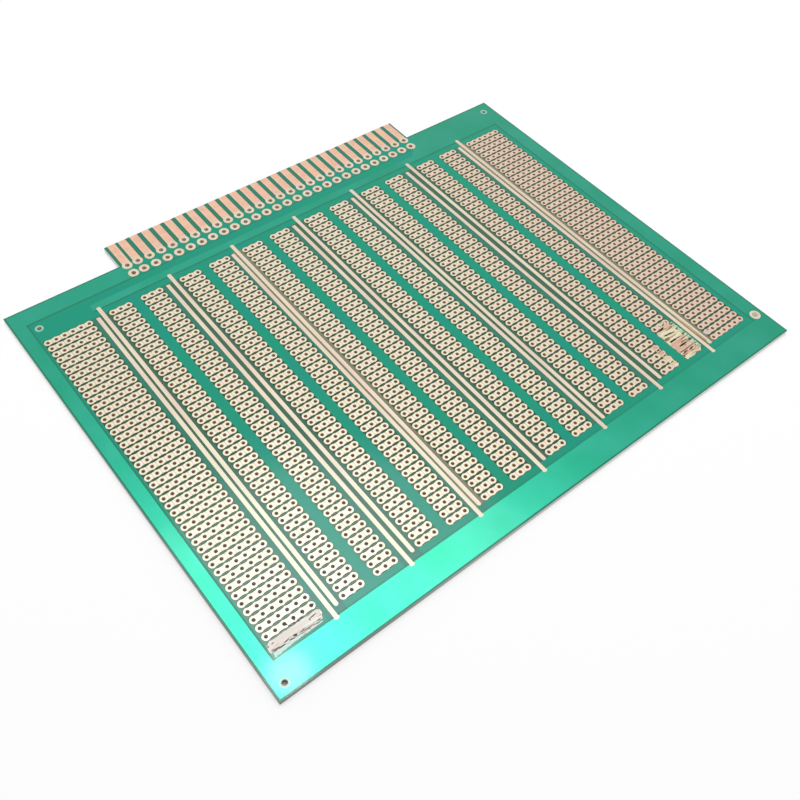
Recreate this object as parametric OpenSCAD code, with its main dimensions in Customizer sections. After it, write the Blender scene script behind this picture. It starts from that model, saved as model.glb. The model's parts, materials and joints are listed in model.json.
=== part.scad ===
// Bare prototyping circuit board: a glass-laminate plate with one etched copper layer and a green
// solder mask. Long columns of pad strips stand either side of paired bus bars, and a tab with
// plated-up fingers plugs into an edge connector.
// Origin: middle of the whole outline, on the underside. +X runs to the right along the front edge,
// +Y points at the edge connector and +Z is the copper side.

/* [Hole lattice] */
// Distance between neighbouring component holes, both ways
pitch = 2.54; // [2.2:0.01:3]
// Rows of component holes
rows = 45; // [20:1:55]
// Holes in each strip of the two outer columns
outer_holes = 6; // [4:1:8]
// Holes in each strip of the inner, paired columns
inner_holes = 3; // [2:1:5]
// Diameter of a component hole
hole_d = 1; // [0.6:0.05:1.2]

/* [Pad strips] */
// Bare gap between the copper of two neighbouring strips
strip_gap = 0.44; // [0.26:0.01:0.6]
// Width of the copper neck between two lands of a strip
neck_w = 1.75; // [0.5:0.05:1.9]

/* [Columns] */
// Gap across a pair of inner columns, from hole to hole
twin_gap = 5.2; // [4:0.1:8]
// Lanes between column pairs that carry the bus bars, from hole to hole, left to right
bus_lane = [7.5, 8, 6.9, 8.1, 7.9, 8.8, 7.6]; // [6.9:0.1:12]
// Distance between the two bars of each lane, centre to centre
bus_gap = [1.9, 2.4, 1.8, 2.4, 2.1, 2.8, 1.9]; // [1.7:0.1:2.8]
// Distance from a lane's supply bar to the next column of holes
bus_inset = 2.6; // [2.2:0.1:2.8]

/* [Bus bars] */
// Width of a bus bar
bus_w = 1.2; // [0.6:0.1:1.4]
// Bare length of a ground bar behind the first row of holes
ground_bar_lead = 0.6; // [0:0.1:2]
// Bare length of a supply bar in front of the last row of holes
supply_bar_tail = 1.2; // [0:0.1:2.4]
// How far a bar's mask opening laps over the copper area that the bar joins
bus_lap = 0.7; // [0.2:0.1:1.5]
// Diameter of the round end of a ground bar's opening
bus_tip_d = 1.6; // [1.4:0.1:2]

/* [Board] */
// Thickness of the bare laminate
board_t = 1.6; // [0.8:0.1:3.2]
// Left edge of the board to the first column of holes
margin_left = 6.1; // [5.7:0.1:12]
// Last column of holes to the right edge of the board
margin_right = 8.4; // [7:0.1:14]
// Back edge of the board to the first row of holes
margin_back = 15.5; // [14:0.1:25]
// Last row of holes to the front edge of the board
margin_front = 11.9; // [11:0.1:20]

/* [Foil and mask] */
// Thickness of the copper foil
foil_t = 0.035; // [0.018:0.001:0.105]
// Thickness of the solder mask
mask_t = 0.025; // [0.015:0.001:0.04]
// Bare ring between a copper land and the solder mask around it
mask_clear = 0.08; // [0.02:0.01:0.1]
// Strip along the board's edge that is etched free of copper
edge_clear = 0.5; // [0.2:0.1:1]

/* [Copper areas] */
// Left edge of the board to the inner edge of the ground area
ground_left = 4.05; // [2:0.05:4.2]
// Front edge of the board to the inner edge of the ground area
ground_front = 8.55; // [4:0.05:9]
// Back edge of the board to the inner edge of the ground area
ground_back = 6.1; // [5:0.1:6.5]
// Right edge of the board to the inner edge of the supply area
supply_right = 5.3; // [3:0.1:5.5]
// Back edge of the board to the back edge of the supply rail
rail_back = 9.3; // [8.5:0.1:10]
// Width of the supply rail
rail_w = 2.6; // [1.5:0.1:3]
// Length of the supply rail beyond its first bus bar
rail_lead = 1.7; // [0.8:0.1:4]
// Etched gap between the ground and supply areas
area_gap = 0.4; // [0.2:0.05:0.6]

/* [Edge connector] */
// Contacts on the tab
contacts = 28; // [10:1:29]
// Distance between neighbouring contacts
contact_pitch = 4.04; // [3.7:0.01:4.2]
// Distance from the first contact to the second
contact_first = 3.55; // [3.3:0.05:4]
// Left edge of the board to the holes of the first contact
contact_start = 39.05; // [20:0.05:41]
// Depth of the tab, from the back edge of the board
tab_d = 9.85; // [5:0.05:15]
// Left edge of the tab to the first contact
tab_margin_left = 2.2; // [1.9:0.1:4]
// Last contact to the right edge of the tab
tab_margin_right = 2; // [1.9:0.1:4]
// Width of a contact finger
finger_w = 2.55; // [1.5:0.05:2.8]
// Sideways shift of a finger against its own holes
finger_shift = 0.12; // [0:0.01:0.2]
// Diameter of a contact's round lands
contact_land_d = 3.15; // [2.4:0.05:3.2]
// Diameter of a contact's holes
contact_hole_d = 1.4; // [0.8:0.05:1.6]
// Back edge of the board to the first row of contact holes
contact_inset = 0.7; // [0:0.05:1]
// Distance between the two rows of contact holes
contact_row_gap = 3.95; // [3.5:0.05:4.2]

/* [Corner holes] */
// Diameter of the three small tooling holes
tooling_d = 1.5; // [1:0.1:2]
// Diameter of the bare ring round a tooling hole
tooling_bare_d = 2.4; // [2.2:0.1:3]
// Back left tooling hole, from the left and back edges
tooling_back_left = [6.6, 9.1]; // [5.5:0.1:8]
// Back right tooling hole, from the right and back edges
tooling_back_right = [3.95, 4.3]; // [2:0.05:5]
// Front left tooling hole, from the left and front edges
tooling_front_left = [3.4, 3]; // [2:0.1:6]
// Diameter of the lug hole at the front right
lug_hole_d = 2; // [1:0.1:2.6]
// Diameter of the bare land round the lug hole
lug_land_d = 3.5; // [3:0.1:3.8]
// Lug hole, from the right and front edges
lug_hole = [3.05, 10.1]; // [2.6:0.05:11]

/* [Hidden] */
$fn = 32;
through = 1;
foil_lap = 1;

// Sizes across the hole lattice
land_d = pitch - strip_gap;
outer_w = (outer_holes - 1) * pitch;
inner_w = (inner_holes - 1) * pitch;
lanes = len(bus_lane);
columns = 2 * lanes;
lattice_w = 2 * outer_w + (lanes - 1) * (2 * inner_w + twin_gap) + total(bus_lane, lanes);
lattice_d = (rows - 1) * pitch;

// The outline, round its own middle
board_w = margin_left + lattice_w + margin_right;
board_d = margin_back + lattice_d + margin_front;
left_x = -board_w / 2;
right_x = board_w / 2;
front_y = -(board_d + tab_d) / 2;
back_y = front_y + board_d;
tab_y = back_y + tab_d;
tab_left_x = contact_x(0) - tab_margin_left;
tab_right_x = contact_x(contacts - 1) + tab_margin_right;

// The lattice's corner holes
first_x = left_x + margin_left;
first_y = back_y - margin_back;
last_y = first_y - lattice_d;

// Edges of the copper areas
foil_left_x = left_x + edge_clear;
foil_right_x = right_x - edge_clear;
foil_front_y = front_y + edge_clear;
foil_back_y = back_y - edge_clear;
ground_front_y = front_y + ground_front;
rail_back_y = back_y - rail_back;
rail_front_y = rail_back_y - rail_w;
contact_y = back_y - contact_inset;
ground_end_x = contact_x(0) + contact_land_d / 3;
supply_start_x = contact_x(contacts - 1);
supply_tip_y = last_y - supply_bar_tail + bus_w / 2;

// The corner holes
lug_x = right_x - lug_hole[0];
lug_y = front_y + lug_hole[1];
supply_end_y = lug_y + lug_land_d / 2 + area_gap / 2;
tooling_holes = [
    [left_x + tooling_back_left[0], back_y - tooling_back_left[1]],
    [right_x - tooling_back_right[0], back_y - tooling_back_right[1]],
    [left_x + tooling_front_left[0], front_y + tooling_front_left[1]]
];

laminate_colour = [0.62, 0.62, 0.5];
mask_colour = [0.1, 0.55, 0.45];
copper_colour = [0.93, 0.76, 0.65];

// Sum of a list's first n values
function total(list, n) = n == 0 ? 0 : list[n - 1] + total(list, n - 1);

// Holes at the left and right of a lane, and the lane's two bars
function lane_left_x(k) = first_x + outer_w + k * (2 * inner_w + twin_gap) + total(bus_lane, k);
function lane_right_x(k) = lane_left_x(k) + bus_lane[k];
function supply_bar_x(k) = lane_right_x(k) - bus_inset;
function ground_bar_x(k) = supply_bar_x(k) - bus_gap[k];

// First hole of a column, and how many holes its strips have
function is_outer(c) = c == 0 || c == columns - 1;
function column_holes(c) = is_outer(c) ? outer_holes : inner_holes;
function column_x(c) =
    c == 0 ? first_x : lane_right_x(floor((c - 1) / 2)) + (c - 1) % 2 * (inner_w + twin_gap);

function row_y(r) = first_y - r * pitch;
function contact_x(i) =
    left_x + contact_start + (i == 0 ? 0 : contact_first + (i - 1) * contact_pitch);

// A rectangle between two corners, made wider all round by grow
module area(x0, y0, x1, y1, grow = 0) {
    translate([x0 - grow, y0 - grow]) square([x1 - x0 + 2 * grow, y1 - y0 + 2 * grow]);
}

module outline() {
    polygon([
        [left_x, front_y], [right_x, front_y], [right_x, back_y], [tab_right_x, back_y],
        [tab_right_x, tab_y], [tab_left_x, tab_y], [tab_left_x, back_y], [left_x, back_y]
    ]);
}

// Foil lies on the laminate, and h is its height above the laminate's face
module on_laminate(h) {
    translate([0, 0, board_t]) linear_extrude(h) children();
}

// A row of round holes
module hole_row(count) {
    for (i = [0 : count - 1]) translate([i * pitch, 0]) circle(d = hole_d);
}

// One strip: round lands joined by a narrower neck
module strip(count) {
    difference() {
        union() {
            for (i = [0 : count - 1]) translate([i * pitch, 0]) circle(d = land_d);
            translate([0, -neck_w / 2]) square([(count - 1) * pitch, neck_w]);
        }
        hole_row(count);
    }
}

// The mask's opening over a strip: one straight slot with round ends
module strip_opening(count) {
    slot_w = land_d + 2 * mask_clear;
    for (i = [0, count - 1]) translate([i * pitch, 0]) circle(d = slot_w);
    translate([0, -slot_w / 2]) square([(count - 1) * pitch, slot_w]);
}

// Both rows of a contact's holes
module contact_holes(i) {
    for (row = [0, 1])
        translate([contact_x(i), contact_y - row * contact_row_gap]) circle(d = contact_hole_d);
}

// A finger runs from its land to the very edge of the tab
module finger(i, grow = 0) {
    x = contact_x(i) + finger_shift;
    translate([contact_x(i), contact_y]) circle(d = contact_land_d + 2 * grow);
    translate([x - finger_w / 2 - grow, contact_y]) square([finger_w + 2 * grow, tab_y - contact_y]);
}

// The single land behind a finger
module second_land(i, grow = 0) {
    translate([contact_x(i), contact_y - contact_row_gap]) circle(d = contact_land_d + 2 * grow);
}

// Ground: a band along the back left, left and front edges, with a step that holds the lug
module ground_area(grow = 0) {
    area(foil_left_x, foil_front_y, left_x + ground_left, foil_back_y, grow);
    area(foil_left_x, back_y - ground_back, ground_end_x, foil_back_y, grow);
    area(foil_left_x, foil_front_y, foil_right_x, ground_front_y, grow);
    area(lug_x, foil_front_y, foil_right_x, supply_end_y - area_gap, grow);
    translate([lug_x, lug_y]) circle(d = lug_land_d + 2 * grow);
}

// Supply: a rail behind the strips that widens on a slant into the back right corner and the
// right edge. The slant's polygon laps over the rectangles that it joins.
module supply_area(grow = 0) {
    reach = back_y - ground_back - rail_back_y + grow * sqrt(2);
    area(supply_bar_x(0) - rail_lead, rail_front_y, foil_right_x, rail_back_y, grow);
    area(right_x - supply_right, supply_end_y, foil_right_x, rail_back_y, grow);
    area(supply_start_x, rail_front_y, foil_right_x, foil_back_y, grow);
    polygon([
        [supply_start_x - reach - foil_lap, rail_back_y - foil_lap],
        [supply_start_x + foil_lap, rail_back_y - foil_lap],
        [supply_start_x + foil_lap, rail_back_y + reach + foil_lap]
    ]);
}

module ground_bars() {
    for (k = [0 : lanes - 1])
        area(ground_bar_x(k) - bus_w / 2, ground_front_y - through,
            ground_bar_x(k) + bus_w / 2, first_y + ground_bar_lead);
}

// A supply bar ends round in front of the last row
module supply_bars() {
    for (k = [0 : lanes - 1]) {
        area(supply_bar_x(k) - bus_w / 2, supply_tip_y,
            supply_bar_x(k) + bus_w / 2, rail_front_y + through);
        translate([supply_bar_x(k), supply_tip_y]) circle(d = bus_w);
    }
}

// The mask's openings over the bars, each lapping onto the area that the bar joins
module bar_openings() {
    half = bus_w / 2 + mask_clear;
    for (k = [0 : lanes - 1]) {
        area(ground_bar_x(k) - half, ground_front_y - bus_lap + bus_tip_d / 2,
            ground_bar_x(k) + half, first_y + ground_bar_lead + mask_clear);
        translate([ground_bar_x(k), ground_front_y - bus_lap + bus_tip_d / 2]) circle(d = bus_tip_d);
        area(supply_bar_x(k) - half, supply_tip_y,
            supply_bar_x(k) + half, rail_front_y + bus_lap - half);
        for (y = [supply_tip_y, rail_front_y + bus_lap - half])
            translate([supply_bar_x(k), y]) circle(r = half);
    }
}

module tooling(d) {
    for (p = tooling_holes) translate(p) circle(d = d);
}

module lug(d) {
    translate([lug_x, lug_y]) circle(d = d);
}

module laminate() {
    color(laminate_colour) linear_extrude(board_t) difference() {
        outline();
        for (c = [0 : columns - 1], r = [0 : rows - 1])
            translate([column_x(c), row_y(r)]) hole_row(column_holes(c));
        for (i = [0 : contacts - 1]) contact_holes(i);
        tooling(tooling_d);
        lug(lug_hole_d);
    }
}

// Every opening in the mask
module mask_openings() {
    for (c = [0 : columns - 1], r = [0 : rows - 1])
        translate([column_x(c), row_y(r)]) strip_opening(column_holes(c));
    for (i = [0 : contacts - 1]) {
        finger(i, mask_clear);
        second_land(i, mask_clear);
    }
    bar_openings();
    tooling(tooling_bare_d);
    lug(lug_land_d);
}

module copper_areas(grow = 0) {
    ground_area(grow);
    supply_area(grow);
}

// The mask follows the foil: one level lies on the laminate, one on the copper areas, and a thin
// wall at the edge of the foil joins them
module solder_mask() {
    color(mask_colour) {
        on_laminate(mask_t) difference() {
            outline();
            copper_areas();
            mask_openings();
        }
        translate([0, 0, foil_t]) on_laminate(mask_t) difference() {
            copper_areas(mask_t);
            mask_openings();
        }
        on_laminate(foil_t + mask_t) difference() {
            copper_areas(mask_t);
            copper_areas();
            mask_openings();
        }
    }
}

// The first contact belongs to the ground area
module ground_copper() {
    color(copper_colour) on_laminate(foil_t) difference() {
        union() {
            ground_area();
            ground_bars();
            finger(0);
            second_land(0);
        }
        contact_holes(0);
        tooling(tooling_bare_d);
        lug(lug_hole_d);
    }
}

// The last contact belongs to the supply area
module supply_copper() {
    color(copper_colour) on_laminate(foil_t) difference() {
        union() {
            supply_area();
            supply_bars();
            finger(contacts - 1);
            second_land(contacts - 1);
        }
        contact_holes(contacts - 1);
        tooling(tooling_bare_d);
    }
}

module edge_fingers() {
    color(copper_colour) on_laminate(foil_t)
        for (i = [1 : contacts - 2]) difference() {
            finger(i);
            contact_holes(i);
        }
}

module edge_pads() {
    color(copper_colour) on_laminate(foil_t)
        for (i = [1 : contacts - 2]) difference() {
            second_land(i);
            contact_holes(i);
        }
}

// One column of strips, a row at a time
module strips(c) {
    color(copper_colour) on_laminate(foil_t)
        for (r = [0 : rows - 1]) translate([column_x(c), row_y(r)]) strip(column_holes(c));
}

laminate();
solder_mask();
ground_copper();
supply_copper();
edge_fingers();
edge_pads();
strips(0);  // strips_left
strips(1);  // strips_a1
strips(2);  // strips_a2
strips(3);  // strips_b1
strips(4);  // strips_b2
strips(5);  // strips_c1
strips(6);  // strips_c2
strips(7);  // strips_d1
strips(8);  // strips_d2
strips(9);  // strips_e1
strips(10);  // strips_e2
strips(11);  // strips_f1
strips(12);  // strips_f2
strips(13);  // strips_right
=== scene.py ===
# %% [markdown]
# # A bare circuit board
#
# This lesson dresses a bare prototyping board: a sheet of glass laminate, one layer of etched
# copper and a green solder mask over it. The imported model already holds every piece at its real
# size. So the work here is finish: how the mask looks over copper and over plain laminate, how
# etched pads catch the light, and where the board is scuffed.

# %% Load the frame
import json
import math
import bpy
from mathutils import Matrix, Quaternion, Vector


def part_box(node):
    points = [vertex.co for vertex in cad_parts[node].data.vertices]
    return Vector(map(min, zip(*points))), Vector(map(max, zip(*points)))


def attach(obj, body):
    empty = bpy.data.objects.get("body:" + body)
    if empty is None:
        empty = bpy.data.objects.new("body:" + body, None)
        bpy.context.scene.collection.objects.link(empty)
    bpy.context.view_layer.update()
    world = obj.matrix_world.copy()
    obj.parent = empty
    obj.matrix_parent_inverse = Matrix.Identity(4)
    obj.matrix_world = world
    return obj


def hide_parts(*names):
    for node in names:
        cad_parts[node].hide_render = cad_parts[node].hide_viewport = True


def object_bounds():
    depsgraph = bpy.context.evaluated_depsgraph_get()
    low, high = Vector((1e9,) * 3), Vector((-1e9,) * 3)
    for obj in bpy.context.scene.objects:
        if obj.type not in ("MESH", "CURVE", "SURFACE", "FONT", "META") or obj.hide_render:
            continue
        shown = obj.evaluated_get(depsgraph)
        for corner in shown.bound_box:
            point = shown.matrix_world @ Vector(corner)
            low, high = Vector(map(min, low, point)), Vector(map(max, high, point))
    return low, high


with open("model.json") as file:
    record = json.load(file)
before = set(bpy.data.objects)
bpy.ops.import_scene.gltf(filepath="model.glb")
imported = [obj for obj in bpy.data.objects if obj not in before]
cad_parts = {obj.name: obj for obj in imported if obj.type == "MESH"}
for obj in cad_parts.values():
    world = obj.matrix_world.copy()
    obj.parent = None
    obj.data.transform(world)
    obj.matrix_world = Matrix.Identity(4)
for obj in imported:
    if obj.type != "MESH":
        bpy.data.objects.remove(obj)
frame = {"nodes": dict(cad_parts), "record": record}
nodes = frame["nodes"]
cad_low, cad_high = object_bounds()
MM = 0.001
print("pieces in the frame:", len(nodes))
print("size in mm:", [round(side / MM, 2) for side in cad_high - cad_low])

# %% [markdown]
# The pads stand on a square grid. A column's box is as wide as its strips and as deep as its
# rows, so the difference of the two gives the pitch, and what is left over is one round land.
# Heights are taken the same way: foil lies on the laminate and the mask lies on both.

# %% Measure the grid and the layers
rows = 45
outer_holes = 6
inner_holes = 3
left_low, left_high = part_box("strips_left")
strip_w = left_high.x - left_low.x
column_d = left_high.y - left_low.y
pitch = (column_d - strip_w) / (rows - outer_holes)
land_d = strip_w - (outer_holes - 1) * pitch
neck_w = 1.75 * MM
hole_d = 1.0 * MM
laminate_top = left_low.z
foil_top = left_high.z
foil_t = foil_top - laminate_top
first_hole = Vector((left_low.x + land_d / 2, left_high.y - land_d / 2, laminate_top))
print("pitch, land and foil in mm:", [round(v / MM, 3) for v in (pitch, land_d, foil_t)])

# %% [markdown]
# The outline has a tab at the back. The mask follows the whole outline, and the tab's own box is
# that of its fingers, so the board's back edge is where the single lands and the fingers meet.

# %% Measure the outline
fingers_low, fingers_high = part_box("edge_fingers")
pads_low, pads_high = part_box("edge_pads")
contact_land_d = pads_high.y - pads_low.y
finger_pitch = 4.04 * MM
finger_w = 2.55 * MM
hole_to_back_edge = 0.7 * MM
last_finger_x = fingers_high.x - finger_w / 2
finger_hole_y = fingers_low.y + contact_land_d / 2
back_edge_y = finger_hole_y + hole_to_back_edge
tab_edge_y = cad_high.y
front_edge_y = cad_low.y
finger_steps = (fingers_high.x - fingers_low.x - finger_w) / finger_pitch
print("finger pitches from the first to the last:", round(finger_steps, 2))
print("tab depth in mm:", round((tab_edge_y - back_edge_y) / MM, 2))

# %% [markdown]
# The camera comes first, because every finish is judged through it. It looks down on the board
# from the front left, a little rolled, as a hand-held camera would be. Azimuth 0 looks along +Y.

# %% Set the camera
camera_aim = Vector((-19.5, -25.2, laminate_top / MM)) * MM
camera_distance = 252.9 * MM
camera_azimuth = math.radians(-43.86)
camera_elevation = math.radians(52.59)
camera_roll = math.radians(6.17)
camera_data = bpy.data.cameras.new("camera")
camera_data.lens = 41.0
camera_data.sensor_width = 36.0
camera_data.dof.use_dof = False
camera = bpy.data.objects.new("camera", camera_data)
camera_back = Vector((
    math.sin(camera_azimuth) * math.cos(camera_elevation),
    -math.cos(camera_azimuth) * math.cos(camera_elevation),
    math.sin(camera_elevation),
))
camera.location = camera_aim + camera_back * camera_distance
camera.rotation_mode = "QUATERNION"
camera.rotation_quaternion = (
    (-camera_back).to_track_quat("-Z", "Y") @ Quaternion((0, 0, 1), camera_roll)
)
camera_data.clip_start = 0.01
camera_data.clip_end = 20
scene = bpy.context.scene
scene.collection.objects.link(camera)
scene.camera = camera
scene.view_settings.view_transform = "Standard"
print("camera at", [round(v, 4) for v in camera.location])

# %% [markdown]
# Shader trees and geometry trees are built from the same few moves: add a node, set its fields,
# fill its sockets. One helper does all three. A socket's value is either a plain value or another
# node's output, which is then linked.

# %% A helper that adds one node
def add_node(tree, kind, fields=None, **sockets):
    """Adds a node; sockets are named with _ for a space, or numbered as in s0, s1."""
    node = tree.nodes.new(kind)
    for name, value in (fields or {}).items():
        setattr(node, name, value)
    for name, value in sockets.items():
        numbered = name[0] == "s" and name[1:].isdigit()
        socket = node.inputs[int(name[1:]) if numbered else name.replace("_", " ")]
        if isinstance(value, bpy.types.NodeSocket):
            tree.links.new(value, socket)
        else:
            socket.default_value = value
    return node


def maths(tree, operation, a, b=0.0, c=0.0):
    """One Math node's output."""
    return add_node(tree, "ShaderNodeMath", {"operation": operation}, s0=a, s1=b, s2=c).outputs[0]


print("helpers ready")

# %% [markdown]
# The board stands on a plain white floor. The floor takes the board's soft shadow like any white
# paint, and a share of plain white is mixed in for what the camera sees, so that it clears to
# white where nothing shades it. Under the board none is mixed in, or it would glow through the
# holes.

# %% Build the floor
def seen_directly(tree):
    """1 for camera, glossy and transmission rays."""
    path = add_node(tree, "ShaderNodeLightPath")
    seen = path.outputs["Is Camera Ray"]
    for ray in ("Is Glossy Ray", "Is Transmission Ray"):
        seen = maths(tree, "MAXIMUM", seen, path.outputs[ray])
    return seen


def clear_tree(owner):
    owner.use_nodes = True
    owner.node_tree.nodes.clear()
    return owner.node_tree


floor_half = 3.0
plain_white_share = 0.45
floor_mesh = bpy.data.meshes.new("floor")
floor_corners = [(-1, -1), (1, -1), (1, 1), (-1, 1)]
floor_mesh.from_pydata(
    [(x * floor_half, y * floor_half, cad_low.z) for x, y in floor_corners], [], [(0, 1, 2, 3)]
)
floor = bpy.data.objects.new("floor", floor_mesh)
scene.collection.objects.link(floor)

floor_paint = bpy.data.materials.new("floor_paint")
tree = clear_tree(floor_paint)
matt = add_node(tree, "ShaderNodeBsdfDiffuse", Color=(0.86, 0.86, 0.86, 1))
white = add_node(tree, "ShaderNodeEmission", Color=(1, 1, 1, 1), Strength=1.2)
place = add_node(tree, "ShaderNodeTexCoord").outputs["Object"]
spot = add_node(tree, "ShaderNodeSeparateXYZ", s0=place)
beside_board = maths(tree, "GREATER_THAN", maths(tree, "ABSOLUTE", spot.outputs[0]), cad_high.x)
for past_edge in (
    maths(tree, "LESS_THAN", spot.outputs[1], front_edge_y),
    maths(tree, "GREATER_THAN", spot.outputs[1], back_edge_y),
):
    beside_board = maths(tree, "MAXIMUM", beside_board, past_edge)
share = maths(tree, "MULTIPLY", beside_board, plain_white_share)
share = maths(tree, "MULTIPLY", seen_directly(tree), share)
mix = add_node(tree, "ShaderNodeMixShader", s0=share, s1=matt.outputs[0], s2=white.outputs[0])
add_node(tree, "ShaderNodeOutputMaterial", Surface=mix.outputs[0])
floor_mesh.materials.append(floor_paint)
print("floor ready,", 2 * floor_half, "m wide")

# %% [markdown]
# The world shows white to the camera and in reflections, and lights the board at a lower level.

# %% Build the world
world = bpy.data.worlds.new("studio")
scene.world = world
tree = clear_tree(world)
fill = add_node(tree, "ShaderNodeBackground", Color=(1, 1, 1, 1), Strength=0.62)
backdrop = add_node(tree, "ShaderNodeBackground", Color=(1, 1, 1, 1), Strength=1.0)
mix = add_node(
    tree, "ShaderNodeMixShader", s0=seen_directly(tree), s1=fill.outputs[0], s2=backdrop.outputs[0]
)
add_node(tree, "ShaderNodeOutputWorld", Surface=mix.outputs[0])
print("world ready")

# %% [markdown]
# Two round lamps hang behind and to the right of the board. The near front corner mirrors them
# into the camera, which is why the mask shines there and nowhere else. A lamp's power follows
# from the brightness that is wanted and its area.

# %% Hang the lamps
def hang_lamp(name, place, radius, brightness):
    """A round lamp over the board, facing down, as bright as the given number times white."""
    data = bpy.data.lights.new(name, "AREA")
    data.shape = "DISK"
    data.size = 2 * radius
    data.energy = brightness * math.pi * (math.pi * radius ** 2)
    lamp = bpy.data.objects.new(name, data)
    lamp.location = place
    scene.collection.objects.link(lamp)
    return lamp


lamp_height = 1.0
soft_lamp = hang_lamp("soft_lamp", (0.165, 0.204, lamp_height), 0.35, 3.4)
core_lamp = hang_lamp("core_lamp", (0.0994, 0.254, lamp_height - 0.01), 0.03, 34.0)
print("lamps:", soft_lamp.name, core_lamp.name)

# %% [markdown]
# Every paint ends in a Principled shader, and mixes its colours by shares from 0 to 1. The
# shares come from noise or from where a point lies on the board.

# %% Helpers for paints
def principled(tree, **sockets):
    """A Principled shader on its way to the output."""
    shader = add_node(tree, "ShaderNodeBsdfPrincipled", **sockets)
    add_node(tree, "ShaderNodeOutputMaterial", Surface=shader.outputs[0])
    return shader


def mix_colour(tree, share, a, b):
    node = add_node(tree, "ShaderNodeMix", {"data_type": "RGBA"}, s0=share)
    for socket, value in ((node.inputs[6], a), (node.inputs[7], b)):
        if isinstance(value, bpy.types.NodeSocket):
            tree.links.new(value, socket)
        else:
            socket.default_value = (*value, 1)
    return node.outputs[2]


def mix_value(tree, share, a, b):
    return add_node(tree, "ShaderNodeMix", {"data_type": "FLOAT"}, s0=share, s2=a, s3=b).outputs[0]


def object_axes(tree):
    """Object coordinates as a vector and as x, y and z."""
    place = add_node(tree, "ShaderNodeTexCoord").outputs["Object"]
    axes = add_node(tree, "ShaderNodeSeparateXYZ", s0=place)
    return place, axes.outputs[0], axes.outputs[1], axes.outputs[2]


def noise(tree, place, scale, detail=3.0, stretch=(1, 1, 1)):
    """Soft noise from 0 to 1; scale is in features per metre."""
    mapping = add_node(tree, "ShaderNodeMapping", Vector=place, Scale=stretch)
    return add_node(
        tree, "ShaderNodeTexNoise", Vector=mapping.outputs[0], Scale=scale, Detail=detail
    ).outputs[0]


print("paint helpers ready")

# %% [markdown]
# A place on the board becomes a share through a few tests: a soft step from one value to another,
# a band between two limits, a line with soft sides, or the distance from a point.

# %% Helpers that mark places
def soft_step(tree, value, start, end, low=0.0, high=1.0):
    """Goes from low to high as value goes from start to end, and stays there."""
    return add_node(
        tree, "ShaderNodeMapRange", s0=value, s1=start, s2=end, s3=low, s4=high
    ).outputs[0]


def within(tree, value, low, high):
    """1 where value lies between low and high, else 0."""
    return maths(tree, "COMPARE", value, (low + high) / 2, (high - low) / 2)


def line_share(tree, value, line, half_width):
    """1 on the line, falling softly to 0 at its sides."""
    away = maths(tree, "ABSOLUTE", maths(tree, "SUBTRACT", value, line))
    return soft_step(tree, away, 0.4 * half_width, 1.4 * half_width, 1.0, 0.0)


def largest(tree, *values):
    """The largest of several values."""
    result = values[0]
    for value in values[1:]:
        result = maths(tree, "MAXIMUM", result, value)
    return result


def both(tree, a, b):
    """The share of points that lie in two places at once."""
    return maths(tree, "MULTIPLY", a, b)


def distance_to(tree, place, point):
    """Distance in plan from a point of the board."""
    flat = add_node(tree, "ShaderNodeVectorMath", {"operation": "MULTIPLY"}, s0=place, s1=(1, 1, 0))
    spot = (point[0], point[1], 0)
    return add_node(
        tree, "ShaderNodeVectorMath", {"operation": "DISTANCE"}, s0=flat.outputs[0], s1=spot
    ).outputs["Value"]


print("place helpers ready")

# %% [markdown]
# Solder mask is a thin green coat. Over copper the metal shines through it and it reads as green
# metal. Over laminate nothing lies behind it, and it is a deeper, duller green. Its height tells
# the two apart, because the mask steps up where it crosses the foil. Toward its front left corner
# the board is painted paler: a painted highlight for the glare of the lamps mirrored there.

# %% Start the solder mask
mask_over_foil = (0.014, 0.300, 0.182)
mask_over_foil_blue = (0.024, 0.325, 0.218)
mask_over_laminate = (0.000, 0.310, 0.185)
mask_over_laminate_blue = (0.000, 0.298, 0.203)
# Painted glare: near the front left corner the lamps' reflection is painted into the colours.
glare_corner = (cad_low.x, front_edge_y)
glare_core = 30 * MM
mask_glare_reach = 75 * MM
copper_glare_reach = 90 * MM
copper_glare_strength = 0.5


def painted_glare_at(tree, place, reach, strength=1.0):
    """The share of painted glare: full near the front left corner and gone at its reach."""
    away = distance_to(tree, place, glare_corner)
    return soft_step(tree, away, glare_core, reach, strength, 0.0)


mask_paint = bpy.data.materials.new("solder_mask")
tree = clear_tree(mask_paint)
place, x, y, z = object_axes(tree)
over_foil = maths(tree, "GREATER_THAN", z, laminate_top + 1.2 * foil_t)
cloud = soft_step(tree, noise(tree, place, 70, 2), 0.35, 0.65)
on_foil = mix_colour(tree, cloud, mask_over_foil, mask_over_foil_blue)
on_laminate = mix_colour(tree, cloud, mask_over_laminate, mask_over_laminate_blue)
# Painted glare: the share by which the mask is painted paler toward the front left corner.
painted_glare = painted_glare_at(tree, place, mask_glare_reach)
print("mask nodes so far:", len(tree.nodes))

# %% [markdown]
# The mask is thin where it runs down a step, and looks darker there. So a dark line follows the
# edges of the two big copper areas and the front of the rail, and a darker margin runs round the
# outline, where the foil is etched away.

# %% Mark the dark margin and the foil's edges
etched_margin = 0.55 * MM
dark_line = 0.28 * MM
ground_left_x = cad_low.x + 4.05 * MM
ground_front_y = front_edge_y + 8.55 * MM
ground_back_y = back_edge_y - 6.1 * MM
supply_right_x = cad_high.x - 5.3 * MM
rail_left_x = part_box("supply_copper")[0].x
rail_front_y = back_edge_y - 11.9 * MM

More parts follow.
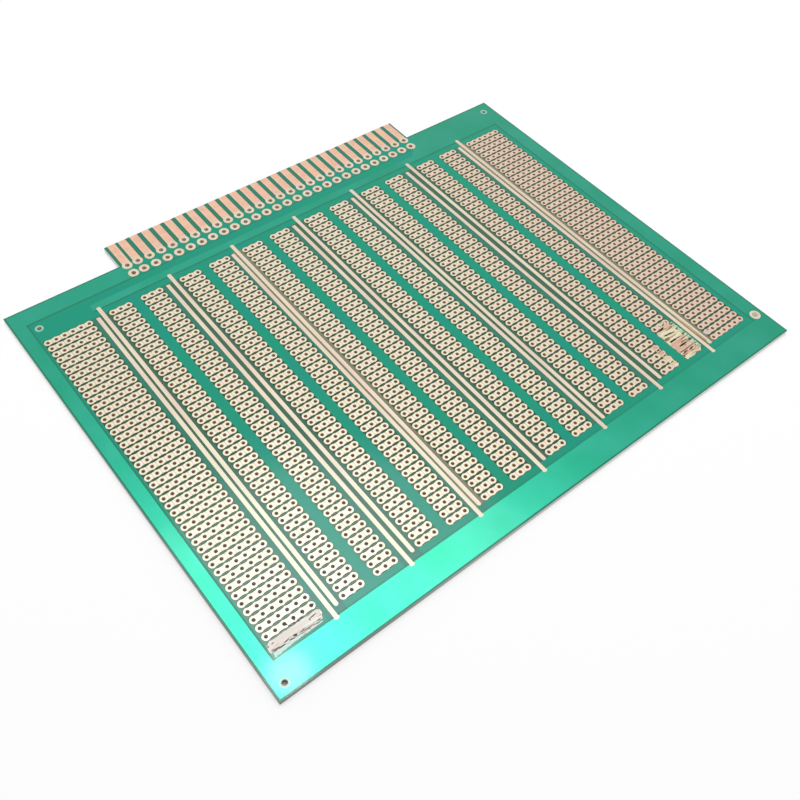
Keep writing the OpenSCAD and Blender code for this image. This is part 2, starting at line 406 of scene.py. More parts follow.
to_side = maths(tree, "SUBTRACT", cad_high.x, maths(tree, "ABSOLUTE", x))
to_front = maths(tree, "SUBTRACT", y, front_edge_y)
to_back = maths(tree, "SUBTRACT", back_edge_y, y)
to_outline = maths(tree, "MINIMUM", to_side, maths(tree, "MINIMUM", to_front, to_back))
at_margin = soft_step(tree, to_outline, etched_margin, 1.1 * etched_margin, 1.0, 0.0)
between_y = within(tree, y, ground_front_y, ground_back_y)
between_x = within(tree, x, ground_left_x, supply_right_x)
along_rail = within(tree, x, rail_left_x, supply_right_x)
front_line = line_share(tree, y, ground_front_y + dark_line, dark_line)
at_foil_edge = largest(
    tree,
    both(tree, between_y, line_share(tree, x, ground_left_x + dark_line, dark_line)),
    both(tree, between_y, line_share(tree, x, supply_right_x - dark_line, dark_line)),
    both(tree, between_x, line_share(tree, y, ground_back_y - dark_line, dark_line)),
    both(tree, between_x, maths(tree, "MULTIPLY", front_line, 0.5)),
    both(tree, along_rail, line_share(tree, y, rail_front_y - dark_line, dark_line)),
)
margin_share = maths(tree, "MULTIPLY", at_margin, 0.6)
foil_edge_share = maths(tree, "MULTIPLY", at_foil_edge, 0.6)
at_edge = largest(tree, margin_share, foil_edge_share)
print("mask nodes so far:", len(tree.nodes))

# %% [markdown]
# Two columns stand either side of a lane with a pair of bus bars in it. Mask in a lane is dulled
# by flux, and the strip of it right of the ground bar is duller still. In two lanes that strip is
# brown. The webs of mask between the lands of one column are the darkest of all: the mask there is
# thin and dull, and the shade between the lands is painted into it as well.

# %% Mark the lanes and the webs
columns = ["left", *(pair + side for pair in "abcdef" for side in "12"), "right"]
column_boxes = [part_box("strips_" + column) for column in columns]
in_rows = within(tree, y, left_low.y, left_high.y)
in_column = largest(tree, *(within(tree, x, low.x, high.x) for low, high in column_boxes))
in_web = both(tree, in_rows, in_column)
bus_inset = 2.6 * MM
bus_gaps = [gap * MM for gap in (1.9, 2.4, 1.8, 2.4, 2.1, 2.8, 1.9)]
lanes = [
    (before[1].x, after[0].x) for before, after in zip(column_boxes[0::2], column_boxes[1::2])
]
ground_bars_x = [lane[1] + land_d / 2 - bus_inset - gap for lane, gap in zip(lanes, bus_gaps)]
beside_bar = [within(tree, x, bar_x, lane[1]) for bar_x, lane in zip(ground_bars_x, lanes)]
left_half = soft_step(tree, x, cad_low.x / 2, 0.0, 1.0, 0.0)
before_rows = both(tree, within(tree, y, ground_front_y, left_low.y), left_half)
lane_reach = largest(tree, in_rows, before_rows)
in_lane = both(tree, lane_reach, largest(tree, *(within(tree, x, *lane) for lane in lanes)))
beside_bars = both(tree, in_rows, largest(tree, *beside_bar))
beside_brown_bars = both(tree, in_rows, largest(tree, beside_bar[2], beside_bar[6]))
print("lane widths in mm:", [round((lane[1] - lane[0]) / MM, 2) for lane in lanes])

# %% [markdown]
# The colours go on like coats, each over the ones before it: the lanes first, then the painted
# glare, the dark edges and last the webs. Over foil the mask is metallic, and a fine grain softens
# its shine.

# %% Finish the solder mask
mask_in_lane = (0.030, 0.200, 0.135)
mask_beside_bars = (0.048, 0.138, 0.085)
mask_brown = (0.220, 0.212, 0.135)
mask_dark = (0.028, 0.145, 0.082)
# Partly painted shade: the webs between lands are thin, dull mask, darkened further for shade.
dull_web_and_shade = (0.018, 0.085, 0.040)
# Painted glare: the pale colours that the mask and its webs take near the front left corner.
mask_in_glare = (0.180, 0.520, 0.480)
web_in_glare = (0.160, 0.280, 0.190)
glare_on_mask = 0.3
grain_depth = 0.02 * MM

glare_share = maths(tree, "MULTIPLY", painted_glare, glare_on_mask)
web_colour = mix_colour(tree, painted_glare, dull_web_and_shade, web_in_glare)
dulled = on_laminate
for marked, colour in (
    (in_lane, mask_in_lane), (beside_bars, mask_beside_bars), (beside_brown_bars, mask_brown),
    (glare_share, mask_in_glare), (at_edge, mask_dark), (in_web, web_colour),
):
    dulled = mix_colour(tree, marked, dulled, colour)
grain = noise(tree, place, 1500, 2)
bump = add_node(tree, "ShaderNodeBump", Strength=0.12, Distance=grain_depth, Height=grain)
principled(
    tree,
    Base_Color=mix_colour(tree, over_foil, dulled, on_foil),
    Metallic=over_foil,
    Roughness=mix_value(tree, over_foil, 0.34, 0.30),
    Normal=bump.outputs[0],
    Specular_IOR_Level=0.1,
    Coat_Weight=0.3,
    Coat_Roughness=0.09,
)
nodes["solder_mask"].data.materials.clear()
nodes["solder_mask"].data.materials.append(mask_paint)
print("mask painted")

# %% [markdown]
# The laminate shows in three places: its sawn edges, the walls of its holes and thin bare lines
# round the pads. Which is which follows from where a point lies and which way its face looks. The
# mounts in the record say where the tooling holes and the lug hole are.

# %% Tell the laminate's surfaces apart
outer_skin = 0.3 * MM
back_skin = 0.02 * MM
ring_reach = 1.4 * MM
lug_reach = 1.2 * MM

laminate_paint = bpy.data.materials.new("laminate")
tree = clear_tree(laminate_paint)
place, x, y, _ = object_axes(tree)
normal = add_node(tree, "ShaderNodeNewGeometry").outputs["Normal"]
upright = add_node(tree, "ShaderNodeSeparateXYZ", s0=normal).outputs[2]
on_wall = maths(tree, "LESS_THAN", maths(tree, "ABSOLUTE", upright), 0.5)
faces_down = maths(tree, "LESS_THAN", upright, -0.5)
near_side = maths(tree, "GREATER_THAN", maths(tree, "ABSOLUTE", x), cad_high.x - outer_skin)
near_front = maths(tree, "LESS_THAN", y, front_edge_y + outer_skin)
near_back = maths(tree, "GREATER_THAN", y, back_edge_y - back_skin)
sawn = largest(tree, near_side, near_front, near_back)

mount_places = {mount["name"]: mount["pos_m"] for mount in frame["record"]["mounts"]}
near_tooling = largest(tree, *(
    maths(tree, "LESS_THAN", distance_to(tree, place, spot), ring_reach)
    for name, spot in mount_places.items() if name.startswith("tooling")
))
near_lug = maths(tree, "LESS_THAN", distance_to(tree, place, mount_places["lug_hole"]), lug_reach)
in_contact_rows = both(
    tree, within(tree, x, pads_low.x, pads_high.x), maths(tree, "GREATER_THAN", y, pads_low.y)
)
at_contacts = both(tree, in_contact_rows, maths(tree, "SUBTRACT", 1.0, sawn))
print("laminate nodes so far:", len(tree.nodes))

# %% [markdown]
# Sawn glass cloth is grey and faintly layered. Its edges are painted paler away from the front left
# corner: painted light, for the sides that face the lamps at the back right. The walls of the holes
# are raw laminate, a warm brown that light from below shines through. The bare face between pads
# is painted a dark olive, which is painted shade in those narrow gaps. The tooling holes are
# drilled
# through the mask and leave a pale ring, and the walls of the two at the back are painted paler:
# painted light on the far walls that the lamps reach. Near the front left corner the walls of the
# holes take the painted glare.

# %% Paint the laminate
edge_grey = (0.36, 0.36, 0.34)
edge_grey_dark = (0.20, 0.20, 0.19)
# Painted light: the paler edge colour, for sawn edges lit from the back right.
edge_lit_pale = (0.78, 0.80, 0.76)
hole_brown = (0.62, 0.42, 0.24)
# Painted glare: the pale colour of hole walls near the front left corner.
hole_in_glare = (0.64, 0.56, 0.50)
lug_wall = (0.90, 0.88, 0.76)
tooling_wall = (0.34, 0.40, 0.35)
# Painted light: the far walls of the two back tooling holes, which the lamps reach, are paler.
tooling_wall_lit = (0.50, 0.60, 0.53)
contact_wall = (0.66, 0.50, 0.38)
# Painted shade: the bare laminate in the narrow gaps between pads is painted dark.
bare_olive_shade = (0.050, 0.060, 0.028)
ring_pale = (0.42, 0.62, 0.48)
under_face = (0.50, 0.51, 0.40)
corner_shade = 110 * MM

layers = noise(tree, place, 900, 2, (0.05, 0.05, 4))
flecks = noise(tree, place, 2500, 2)
edge_tone = mix_value(tree, 0.4, layers, flecks)
from_corner = distance_to(tree, place, glare_corner)
# Painted light: the sawn edges are painted paler away from the front left corner.
painted_edge_light = soft_step(tree, from_corner, 0.25 * corner_shade, corner_shade)
grey = mix_colour(tree, edge_tone, edge_grey_dark, edge_grey)
edge_colour = mix_colour(tree, painted_edge_light, grey, edge_lit_pale)
# Painted glare: hole walls are painted paler toward the front left corner.
hole_glare = painted_glare_at(tree, place, mask_glare_reach)
hole_colour = mix_colour(tree, hole_glare, hole_brown, hole_in_glare)
wall_colour = mix_colour(tree, sawn, hole_colour, edge_colour)
wall_colour = mix_colour(tree, near_lug, wall_colour, lug_wall)
in_back_half = maths(tree, "GREATER_THAN", y, 0.0)
tooling_colour = mix_colour(tree, in_back_half, tooling_wall, tooling_wall_lit)
wall_colour = mix_colour(tree, near_tooling, wall_colour, tooling_colour)
wall_colour = mix_colour(tree, at_contacts, wall_colour, contact_wall)
face_colour = mix_colour(tree, near_tooling, bare_olive_shade, ring_pale)
face_colour = mix_colour(tree, faces_down, face_colour, under_face)
principled(
    tree,
    Base_Color=mix_colour(tree, on_wall, face_colour, wall_colour),
    Roughness=0.6,
    Specular_IOR_Level=0.3,
    Coat_Weight=mix_value(tree, on_wall, 0.4, 0.0),
    Coat_Roughness=0.12,
)
nodes["laminate"].data.materials.clear()
nodes["laminate"].data.materials.append(laminate_paint)
print("laminate painted")

# %% [markdown]
# Bare copper is pink where it is freshly rolled and creamy where the protective flux lies thick,
# at the rims of lands. The fingers are scrubbed lengthwise, so their streaks run along Y and the
# metal there is more salmon than on the lands.

# %% Paint the copper areas, bars and fingers
copper_pink = (0.670, 0.520, 0.395)
copper_cream = (0.725, 0.640, 0.475)
# Painted glare: the pale colour that copper takes near the front left corner.
copper_in_glare = (0.600, 0.800, 0.580)
finger_salmon = (0.75, 0.395, 0.280)
finger_sand = (0.79, 0.480, 0.310)
finger_rim = (0.80, 0.62, 0.44)

bar_copper = bpy.data.materials.new("bar_copper")
tree = clear_tree(bar_copper)
place, x, y, _ = object_axes(tree)
drawn = soft_step(tree, noise(tree, place, 900, 3, (1, 0.06, 1)), 0.35, 0.65)
lands = mix_colour(tree, drawn, copper_pink, copper_cream)
# Painted glare: bars and fingers are painted paler toward the front left corner.
bar_glare = painted_glare_at(tree, place, copper_glare_reach, copper_glare_strength)
lands = mix_colour(tree, bar_glare, lands, copper_in_glare)
streaks = noise(tree, place, 1100, 3, (1, 0.1, 1))
blotches = soft_step(tree, noise(tree, place, 450, 2), 0.35, 0.65)
from_last = maths(tree, "SUBTRACT", x, last_finger_x)
in_finger = maths(tree, "WRAP", from_last, finger_pitch / 2, -finger_pitch / 2)
off_middle = maths(tree, "ABSOLUTE", in_finger)
at_rim = soft_step(tree, off_middle, 0.36 * finger_w, 0.48 * finger_w, 0.0, 0.5)
salmon = mix_colour(tree, blotches, finger_salmon, finger_sand)
salmon = mix_colour(tree, at_rim, salmon, finger_rim)
on_finger = soft_step(tree, y, finger_hole_y + 0.8 * MM, finger_hole_y + 2.2 * MM)
principled(
    tree,
    Base_Color=mix_colour(tree, on_finger, lands, salmon),
    Metallic=0.25,
    Roughness=mix_value(tree, streaks, 0.38, 0.5),
    Coat_Weight=0.9,
    Coat_Roughness=0.22,
)
for name in ("ground_copper", "supply_copper", "edge_fingers", "edge_pads"):
    nodes[name].data.materials.clear()
    nodes[name].data.materials.append(bar_copper)
print("copper areas painted")

# %% [markdown]
# 630 strips repeat one shape, so Geometry Nodes draw them: round lands joined by necks, a round
# hole in each. A tree starts with its named sizes and ends with one material on plain geometry.

# %% Helpers for geometry trees
def open_tree(name, inputs):
    """A geometry tree with named inputs; returns it with its group input node."""
    tree = bpy.data.node_groups.new(name, "GeometryNodeTree")
    tree.interface.new_socket(name="Geometry", in_out="OUTPUT", socket_type="NodeSocketGeometry")
    for label, kind in inputs.items():
        tree.interface.new_socket(name=label, in_out="INPUT", socket_type="NodeSocket" + kind)
    return tree, tree.nodes.new("NodeGroupInput")


def close_tree(tree, geometry, material):
    """Realizes the instances, gives them a material and ends the tree."""
    real = add_node(tree, "GeometryNodeRealizeInstances", Geometry=geometry)
    painted = add_node(tree, "GeometryNodeSetMaterial", Geometry=real.outputs[0], Material=material)
    end = tree.nodes.new("NodeGroupOutput")
    tree.links.new(painted.outputs[0], end.inputs[0])


def vector(tree, x=0.0, y=0.0, z=0.0):
    return add_node(tree, "ShaderNodeCombineXYZ", s0=x, s1=y, s2=z).outputs[0]


print("tree helpers ready")

# %% [markdown]
# A tree is run once on an empty object, and what it grows is kept as a plain mesh. The finished
# object then needs no modifier and can ride the part's frame like any other.

# %% A helper that grows a mesh
def grow_mesh(name, tree, values):
    """Runs the tree on an empty object, once, and keeps the result as a plain mesh."""
    seed_mesh = bpy.data.meshes.new(name + "_seed")
    grower = bpy.data.objects.new(name + "_grower", seed_mesh)
    scene.collection.objects.link(grower)
    modifier = grower.modifiers.new("grow", "NODES")
    modifier.node_group = tree
    for item in tree.interface.items_tree:
        if item.in_out == "INPUT" and item.name in values:
            modifier[item.identifier] = values[item.name]
    evaluated = grower.evaluated_get(bpy.context.evaluated_depsgraph_get())
    mesh = bpy.data.meshes.new_from_object(evaluated)
    mesh.name = name
    material = next(slot for slot in mesh.materials if slot)
    mesh.materials.clear()
    mesh.materials.append(material)
    mesh.polygons.foreach_set("material_index", [0] * len(mesh.polygons))
    bpy.data.objects.remove(grower)
    grown = bpy.data.objects.new(name, mesh)
    scene.collection.objects.link(grown)
    return grown


print("grower ready")

# %% [markdown]
# The outline of a strip is one closed curve whose points are worked out from their index. Each
# land gets the same number of points, spread over the arc that is free of necks, first along the
# top and then back along the bottom.

# %% The outline of one strip
def strip_outline(tree, sizes):
    """A closed curve round a strip's lands and necks, in the XY plane, first hole at the origin."""
    points = sizes.outputs["Points round a land"]
    holes = sizes.outputs["Holes"]
    radius = maths(tree, "DIVIDE", sizes.outputs["Land diameter"], 2.0)
    half_count = maths(tree, "MULTIPLY", points, holes)
    line = add_node(tree, "GeometryNodeMeshLine", Count=maths(tree, "MULTIPLY", half_count, 2.0))
    index = add_node(tree, "GeometryNodeInputIndex").outputs[0]
    below = maths(tree, "GREATER_THAN", index, maths(tree, "SUBTRACT", half_count, 0.5))
    mirrored = maths(tree, "SUBTRACT", maths(tree, "MULTIPLY_ADD", half_count, 2.0, -1.0), index)
    step = mix_value(tree, below, index, mirrored)
    land = maths(tree, "FLOOR", maths(tree, "DIVIDE", maths(tree, "ADD", step, 0.5), points))
    place_on_land = maths(tree, "SUBTRACT", step, maths(tree, "MULTIPLY", land, points))
    neck_share = maths(tree, "DIVIDE", sizes.outputs["Neck width"], sizes.outputs["Land diameter"])
    neck = maths(tree, "ARCSINE", neck_share)
    free = maths(tree, "SUBTRACT", math.pi, neck)
    steps_to_tip = maths(tree, "SUBTRACT", points, 0.5)
    tip = maths(tree, "DIVIDE", maths(tree, "DIVIDE", free, steps_to_tip), 2.0)
    is_first = maths(tree, "LESS_THAN", land, 0.5)
    is_last = maths(tree, "GREATER_THAN", land, maths(tree, "SUBTRACT", holes, 1.5))
    start = mix_value(tree, is_first, free, maths(tree, "SUBTRACT", math.pi, tip))
    end = mix_value(tree, is_last, neck, tip)
    along = maths(tree, "DIVIDE", place_on_land, maths(tree, "SUBTRACT", points, 1.0))
    angle = add_node(tree, "ShaderNodeMapRange", s0=along, s3=start, s4=end).outputs[0]
    across = maths(tree, "MULTIPLY", radius, maths(tree, "SINE", angle))
    side = mix_value(tree, below, 1.0, -1.0)
    reach = maths(tree, "MULTIPLY", radius, maths(tree, "COSINE", angle))
    x = maths(tree, "MULTIPLY_ADD", land, sizes.outputs["Pitch"], reach)
    placed = add_node(
        tree, "GeometryNodeSetPosition", Geometry=line.outputs[0],
        Position=vector(tree, x, maths(tree, "MULTIPLY", across, side)),
    )
    curve = add_node(tree, "GeometryNodeMeshToCurve", Mesh=placed.outputs[0]).outputs[0]
    return add_node(tree, "GeometryNodeSetSplineCyclic", Geometry=curve, Cyclic=True).outputs[0]


print("strip outline ready")

# %% [markdown]
# A strip's holes are one circle dealt out along a line of points, a pitch apart.

# %% The holes of one strip
def strip_holes(tree, sizes):
    """The strip's holes as circles."""
    circle = add_node(
        tree, "GeometryNodeCurvePrimitiveCircle", Resolution=sizes.outputs["Points round a hole"],
        Radius=maths(tree, "DIVIDE", sizes.outputs["Hole diameter"], 2.0),
    )
    line = add_node(
        tree, "GeometryNodeMeshLine", Count=sizes.outputs["Holes"],
        Offset=vector(tree, sizes.outputs["Pitch"]),
    )
    return add_node(
        tree, "GeometryNodeInstanceOnPoints", Points=line.outputs[0], Instance=circle.outputs[0]
    ).outputs[0]


print("strip holes ready")

# %% [markdown]
# The outline and the circles are filled together, which leaves the holes open. The flat shape is
# raised by the foil's thickness and keeps its own copy as underside, so each strip is a closed
# solid. Before the strips are dealt out row by row, every point stores where it lies on its own
# strip, and every strip draws a tone of its own. The copper's paint reads both.

# %% Build the tree that grows a column of strips
def pad_column_tree(material):
    tree, sizes = open_tree("pad_column", {
        "Rows": "Int", "Holes": "Int", "Pitch": "Float", "Land diameter": "Float",
        "Hole diameter": "Float", "Neck width": "Float", "Foil thickness": "Float",
        "First hole": "Vector", "Points round a land": "Int", "Points round a hole": "Int",
        "Seed": "Int",
    })
    outline = strip_outline(tree, sizes)
    holes = strip_holes(tree, sizes)
    circles = add_node(tree, "GeometryNodeRealizeInstances", Geometry=holes).outputs[0]
    curves = add_node(tree, "GeometryNodeJoinGeometry")
    tree.links.new(outline, curves.inputs[0])
    tree.links.new(circles, curves.inputs[0])
    flat = add_node(tree, "GeometryNodeFillCurve", Curve=curves.outputs[0]).outputs[0]
    marked = add_node(
        tree, "GeometryNodeStoreNamedAttribute", {"data_type": "FLOAT_VECTOR"}, Geometry=flat,
        Name="strip", Value=add_node(tree, "GeometryNodeInputPosition").outputs[0],
    ).outputs[0]
    raised = add_node(
        tree, "GeometryNodeExtrudeMesh", Mesh=marked, Offset=vector(tree, 0, 0, 1.0),
        Offset_Scale=sizes.outputs["Foil thickness"], Individual=False,
    ).outputs[0]
    underside = add_node(tree, "GeometryNodeFlipFaces", Mesh=marked).outputs[0]
    solid = add_node(tree, "GeometryNodeJoinGeometry")
    tree.links.new(raised, solid.inputs[0])
    tree.links.new(underside, solid.inputs[0])
    strip = add_node(
        tree, "GeometryNodeMergeByDistance", Geometry=solid.outputs[0], Distance=1e-6
    ).outputs[0]
    line = add_node(
        tree, "GeometryNodeMeshLine", Count=sizes.outputs["Rows"],
        Start_Location=sizes.outputs["First hole"],
        Offset=vector(tree, 0, maths(tree, "MULTIPLY", sizes.outputs["Pitch"], -1.0)),
    )
    dealt = add_node(
        tree, "GeometryNodeInstanceOnPoints", Points=line.outputs[0], Instance=strip
    ).outputs[0]
    toned = add_node(
        tree, "GeometryNodeStoreNamedAttribute", {"data_type": "FLOAT", "domain": "INSTANCE"},
        Geometry=dealt, Name="tone",
        Value=add_node(tree, "FunctionNodeRandomValue", Seed=sizes.outputs["Seed"]).outputs[1],
    ).outputs[0]
    close_tree(tree, toned, material)
    return tree


print("column tree ready")

# %% [markdown]
# A pad is pinkest round its hole and creamy at its rim. The point stored on the strip is wrapped
# to one pitch, which gives the distance to the nearest hole, and a ramp turns that into colour.
# The last columns on the right are pinker, and the painted glare pales the pads as it does the
# mask.
# Each neck is painted darker, and its sides darker still: painted shade between two lands.

# %% Paint the pads
pad_rose = (0.66, 0.425, 0.320)
pad_straw = (0.69, 0.560, 0.375)
# Painted glare: the pale colour that pads take near the front left corner.
pad_in_glare = (0.78, 0.880, 0.740)
rim_pink = (0.74, 0.540, 0.420)
rim_cream = (0.82, 0.800, 0.630)
# Painted shade: the neck between two lands is painted darker, and its sides darker still.
pad_neck_shade = (0.55, 0.440, 0.325)
neck_side_shade = (0.26, 0.31, 0.20)

pad_copper = bpy.data.materials.new("pad_copper")
tree = clear_tree(pad_copper)
place, x, _, _ = object_axes(tree)
strip = add_node(tree, "ShaderNodeAttribute", {"attribute_name": "strip"}).outputs["Vector"]
on_strip = add_node(tree, "ShaderNodeSeparateXYZ", s0=strip)
tone = add_node(tree, "ShaderNodeAttribute", {"attribute_name": "tone"}).outputs["Fac"]
across_cell = maths(tree, "WRAP", on_strip.outputs[0], pitch / 2, -pitch / 2)
off_line = maths(tree, "ABSOLUTE", on_strip.outputs[1])
in_cell = add_node(tree, "ShaderNodeCombineXYZ", s0=across_cell, s1=off_line)
from_hole = add_node(
    tree, "ShaderNodeVectorMath", {"operation": "LENGTH"}, s0=in_cell.outputs[0]
).outputs["Value"]
rim = soft_step(tree, from_hole, 0.26 * land_d, 0.46 * land_d, 0.0, 0.75)
at_neck = soft_step(tree, maths(tree, "ABSOLUTE", across_cell), 0.38 * pitch, 0.48 * pitch)
# Painted glare toward the front left corner; the painted shade at the necks fades out in it.
pad_glare = painted_glare_at(tree, place, copper_glare_reach, copper_glare_strength)
neck_shade_strength = mix_value(tree, pad_glare, 0.85, 0.0)
mottle = soft_step(tree, noise(tree, place, 360, 2), 0.36, 0.64)
leftward = soft_step(tree, x, 0.2 * cad_high.x, cad_high.x, 1.0, 0.0)
patchy = mix_value(tree, 0.4, mottle, tone)
body_share = mix_value(tree, 0.6, patchy, leftward)
body = mix_colour(tree, body_share, pad_rose, pad_straw)
rim_colour = mix_colour(tree, leftward, rim_pink, rim_cream)
body = mix_colour(tree, rim, body, rim_colour)
body = mix_colour(tree, pad_glare, body, pad_in_glare)
# Painted shade at each neck, darkest at its sides where the strip narrows between lands.
body = mix_colour(tree, both(tree, at_neck, neck_shade_strength), body, pad_neck_shade)
at_side = soft_step(tree, off_line, 0.18 * neck_w, 0.5 * neck_w, 0.0, 0.8)
shade_beside_neck = both(tree, both(tree, at_side, at_neck), neck_shade_strength)
principled(
    tree,
    Base_Color=mix_colour(tree, shade_beside_neck, body, neck_side_shade),
    Metallic=0.25,
    Roughness=mix_value(tree, tone, 0.40, 0.5),
    Coat_Weight=0.9,
    Coat_Roughness=0.22,
)
print("pads painted")

# %% [markdown]
# All 14 columns come from the one tree. Each gives it a first hole, a number of holes and a seed
# of its own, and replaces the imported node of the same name.

# %% Grow all the columns
column_tree = pad_column_tree(pad_copper)
for number, column in enumerate(columns):
    node = "strips_" + column
    low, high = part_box(node)
    pads = grow_mesh("pads_" + column, column_tree, {
        "Rows": rows,
        "Holes": outer_holes if column in ("left", "right") else inner_holes,
        "Pitch": pitch,
        "Land diameter": land_d,
        "Hole diameter": hole_d,
        "Neck width": neck_w,
        "Foil thickness": foil_t,
        "First hole": (low.x + land_d / 2, high.y - land_d / 2, low.z),
        "Points round a land": 9,
        "Points round a hole": 16,
        "Seed": number,
    })
    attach(pads, "root")
    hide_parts(node)
    print(pads.name, "faces:", len(pads.data.polygons))

# %% [markdown]
# The board has been handled. The last strip of the left column lies under a pale smear of old
# flux, and the lower ends of the columns beside the last bus bars are rubbed sideways until their
# rows run together. Both are thin films: flat slabs with ragged edges that lie on the foil. Dark
# crumbs stick to them. Places are in mm right of and behind the first hole.

# %% Outlines of films and crumbs
def ragged(corners, chance, step, wobble):
    """The outline through the corners, in metres, cut into short steps that wander a little."""
    outline = []
    for (x0, y0), (x1, y1) in zip(corners, corners[1:] + corners[:1]):
        count = max(1, round(math.hypot(x1 - x0, y1 - y0) / step))
        for i in range(count):
            x = x0 + (x1 - x0) * i / count + chance.uniform(-wobble, wobble)
            y = y0 + (y1 - y0) * i / count + chance.uniform(-wobble, wobble)
            outline.append((first_hole.x + x * MM, first_hole.y + y * MM))
    return outline


def crumb(x, y, length, width, turn, chance):
    """The outline of a small oval crumb, turned by degrees."""
    points = []
    sides = 10
    for i in range(sides):
        angle = 2 * math.pi * i / sides
        reach = chance.uniform(0.75, 1.0) / 2
        along, across = math.cos(angle) * length * reach, math.sin(angle) * width * reach
        c, s = math.cos(math.radians(turn)), math.sin(math.radians(turn))
        points.append((
            first_hole.x + (x + along * c - across * s) * MM,
            first_hole.y + (y + along * s + across * c) * MM,
        ))
    return points


print("film outlines ready")

# %% [markdown]
# A film is a flat slab: its outline twice, at the bottom and at the top, with a wall between. Its
# outline follows no rule, so it is built face by face.

# %% A helper that lays slabs
import bmesh


def lay_slabs(name, outlines, bottom, thickness, paint):
    """One piece made of flat closed slabs, one for each counter-clockwise outline."""
    shape = bmesh.new()
    for outline in outlines:
        low = [shape.verts.new((x, y, bottom)) for x, y in outline]
        high = [shape.verts.new((x, y, bottom + thickness)) for x, y in outline]
        shape.faces.new(high)
        shape.faces.new(low[::-1])
        for i in range(len(low)):
            j = (i + 1) % len(low)
            shape.faces.new((low[i], low[j], high[j], high[i]))
    bmesh.ops.triangulate(shape, faces=shape.faces[:])
    mesh = bpy.data.meshes.new(name)
    shape.to_mesh(mesh)
    shape.free()
    mesh.materials.append(paint)
    piece = bpy.data.objects.new(name, mesh)
    scene.collection.objects.link(piece)
    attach(piece, "root")
    print(name, "slabs:", len(outlines), "faces:", len(mesh.polygons))


# %% [markdown]
# Every film has the same kind of paint: two pale tones in streaks, scored by darker ones. The
# streaks run the way the board was rubbed, along the rows or along the bars.

# %% Paint the films
def film_paint(name, pale, warm, dark, stretch, dark_from):
    """Streaked film: pale and warm streaks, with dark ones where the noise passes dark_from."""
    material = bpy.data.materials.new(name)
    tree = clear_tree(material)
    place = object_axes(tree)[0]
    broad = soft_step(tree, noise(tree, place, 420, 2, stretch), 0.38, 0.62)
    fine = noise(tree, place, 1100, 3, stretch)
    streaked = mix_colour(tree, broad, pale, warm)
    scored = soft_step(tree, fine, dark_from, dark_from + 0.05, 0.0, 0.8)
    seen = mix_colour(tree, scored, streaked, dark)
    principled(tree, Base_Color=seen, Roughness=0.5, Specular_IOR_Level=0.3)
    return material


along_rows = (0.22, 1.4, 1.0)
along_bars = (1.6, 0.15, 1.0)
tones = {
    "smear": ((0.92, 0.95, 0.88), (0.86, 0.78, 0.71), (0.40, 0.35, 0.30), along_rows, 0.60),
    "fringe": ((0.62, 0.90, 0.80), (0.84, 0.78, 0.78), (0.45, 0.45, 0.40), along_rows, 0.66),
    "rub": ((0.80, 0.76, 0.50), (0.68, 0.40, 0.30), (0.12, 0.05, 0.03), along_rows, 0.57),
    "mint": ((0.30, 0.62, 0.40), (0.66, 0.74, 0.40), (0.02, 0.09, 0.08), along_rows, 0.53),
    "rust": ((0.56, 0.38, 0.20), (0.34, 0.15, 0.06), (0.12, 0.05, 0.02), along_bars, 0.55),
    "crumb": ((0.050, 0.036, 0.030), (0.085, 0.045, 0.032), (0.02, 0.03, 0.02), along_rows, 0.60),
    "band": ((0.66, 0.58, 0.50), (0.86, 0.74, 0.66), (0.20, 0.13, 0.10), along_rows, 0.52),
}
film_paints = {name: film_paint(name, *tone) for name, tone in tones.items()}
print("film paints ready")

# %% [markdown]
# The films and crumbs share one source of chance with a fixed seed, so they come out the same in
# every run. The smear has a thin fringe at its front, and one gap between two bars is rusty.

# %% Lay the films
import random

chance = random.Random(7)
film_t = 0.013 * MM
crumb_t = 0.007 * MM
film_top = foil_top + film_t


def lay_films(name, areas, paint, step=0.45, wobble=0.11):
    """Films of one paint, one slab for each area's corners."""
    outlines = [ragged(area, chance, step, wobble) for area in areas]
    lay_slabs(name, outlines, foil_top, film_t, film_paints[paint])


lay_films("smear", [[
    (-1.3, -113.2), (2.5, -113.5), (6.0, -113.3), (9.5, -113.7), (12.9, -113.5), (13.5, -112.2),
    (13.7, -111.2), (13.0, -110.7), (6.5, -110.75), (0.0, -110.65), (-1.2, -111.2), (-1.4, -112.2),
]], "smear")
lay_films("fringe", [[
    (-1.1, -114.7), (1.5, -114.5), (5.5, -114.2), (12.4, -114.2), (12.6, -113.9), (6.0, -113.6),
    (-1.0, -113.5),
]], "fringe")
lay_films("rub_front_right", [
    [
        (146.1, -112.9), (149.5, -112.9), (152.4, -112.2), (152.6, -106.0), (152.5, -99.9),
        (151.9, -98.3), (149.3, -98.5), (148.8, -100.4), (146.2, -100.5), (146.0, -106.5),
    ],
    [
        (140.7, -112.7), (142.6, -112.6), (142.5, -108.0), (142.4, -103.3), (140.8, -103.3),
        (140.6, -108.0),
    ],
], "rub")
lay_films("rub_right_column", [[
    (158.5, -109.8), (161.0, -109.9), (160.9, -108.6), (158.4, -108.5),
]], "band")
lay_films("mint_front_right", [[
    (152.7, -112.1), (153.9, -111.6), (154.0, -106.0), (153.8, -100.2), (152.8, -99.7),
    (152.9, -106.0),
]], "mint")
lay_films("rust_between_bars", [[
    (156.3, -111.4), (156.8, -111.4), (156.9, -105.0), (156.6, -98.8), (156.2, -98.8),
    (156.1, -105.0),
]], "rust", 0.6, 0.06)

# %% [markdown]
# Crumbs stick along the rubbed ends of the strips, a few to each strip, and wherever the smear
# wrinkles. A darker band lies on the smear's front half. The last crumbs lie loose on the foil.

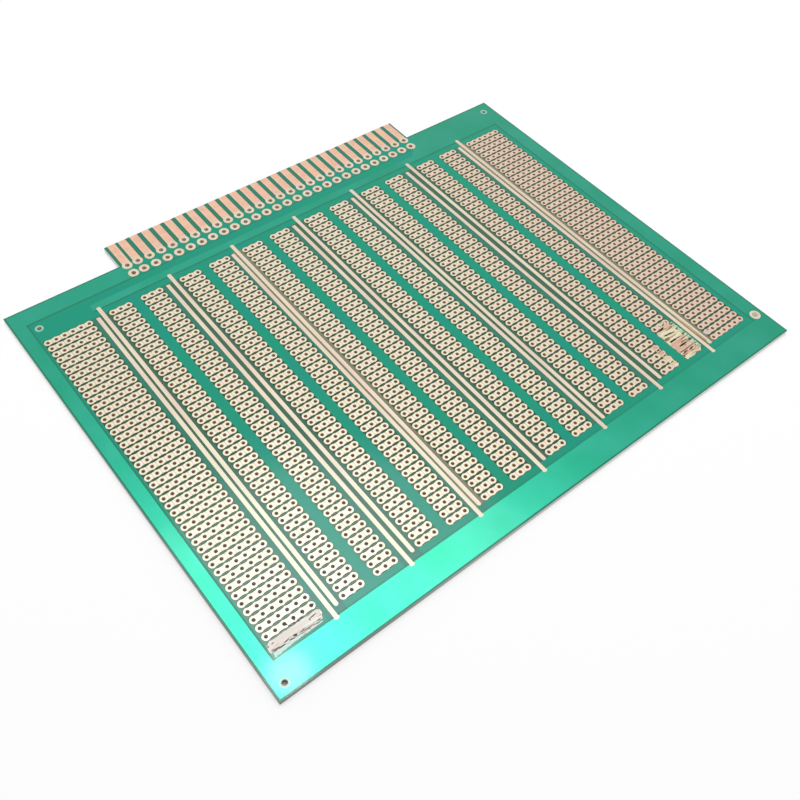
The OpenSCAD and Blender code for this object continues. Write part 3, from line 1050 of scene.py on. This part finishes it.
# %% Lay the crumbs
row_step = pitch / MM
strip_ends = [(row, 146.3, 151.9, 4) for row in (40, 41, 42, 43, 44)]
strip_ends += [(row, 152.6, 153.8, 1) for row in (40, 41, 42, 43)]
strip_ends += [(row, 140.8, 142.4, 1) for row in (42, 43, 44)]
rubbed_crumbs = []
for row, x0, x1, count in strip_ends:
    for _ in range(count):
        length = min(chance.uniform(1.2, 3.6), x1 - x0)
        crumb_x = chance.uniform(x0 + length / 2, x1 - length / 2)
        crumb_y = -(row - 0.5) * row_step + chance.uniform(-0.22, 0.22)
        width, turn = chance.uniform(0.35, 0.65), chance.uniform(-6, 6)
        rubbed_crumbs.append(crumb(crumb_x, crumb_y, length, width, turn, chance))
smear_crumbs = [crumb(*spot, chance) for spot in (
    (-1.0, -111.6, 0.7, 0.3, 80), (0.3, -111.5, 0.8, 0.3, 0), (0.3, -113.1, 2.6, 0.3, -4),
    (3.2, -112.9, 2.0, 0.3, 5), (5.6, -113.0, 1.3, 0.7, 0), (9.2, -113.4, 4.6, 0.22, -2),
    (11.4, -111.6, 2.6, 0.3, 6), (10.4, -111.9, 0.3, 0.7, 0), (1.6, -113.4, 2.2, 0.35, 3),
    (4.4, -113.3, 1.8, 0.3, -5), (7.4, -113.1, 1.8, 0.25, 8), (12.0, -113.2, 1.4, 0.25, 0),
)]
crumb_paint = film_paints["crumb"]
stuck_crumbs = smear_crumbs + rubbed_crumbs
lay_slabs("crumbs_on_films", stuck_crumbs, film_top, crumb_t, crumb_paint)
lay_slabs("smear_band", [ragged([
    (-1.0, -113.3), (2.4, -113.4), (6.0, -113.2), (9.0, -113.5), (12.6, -113.4), (12.8, -113.0),
    (8.6, -112.9), (6.4, -112.6), (4.0, -112.8), (1.0, -112.7), (-1.0, -112.6),
], chance, 0.35, 0.12)], film_top, 0.5 * crumb_t, film_paints["band"])
loose_crumbs = [crumb(*spot, chance) for spot in (
    (5.3, -109.5, 1.1, 0.5, 115), (7.6, -109.5, 1.2, 0.5, 70), (10.1, -109.5, 1.0, 0.4, 95),
    (13.0, -109.2, 1.1, 0.5, -10), (5.8, -110.3, 0.8, 0.3, -30), (7.1, -110.4, 0.7, 0.3, 0),
    (8.1, -110.45, 0.5, 0.3, 0), (9.0, -110.45, 0.9, 0.25, 0), (150.6, -99.3, 1.6, 0.4, 25),
    (159.4, -107.9, 2.2, 0.4, 0), (159.8, -106.7, 1.0, 0.5, 0), (142.9, -111.6, 0.9, 0.5, 60),
    (146.3, -111.5, 0.5, 0.9, 0),
)]
lay_slabs("loose_crumbs", loose_crumbs, foil_top, film_t, crumb_paint)
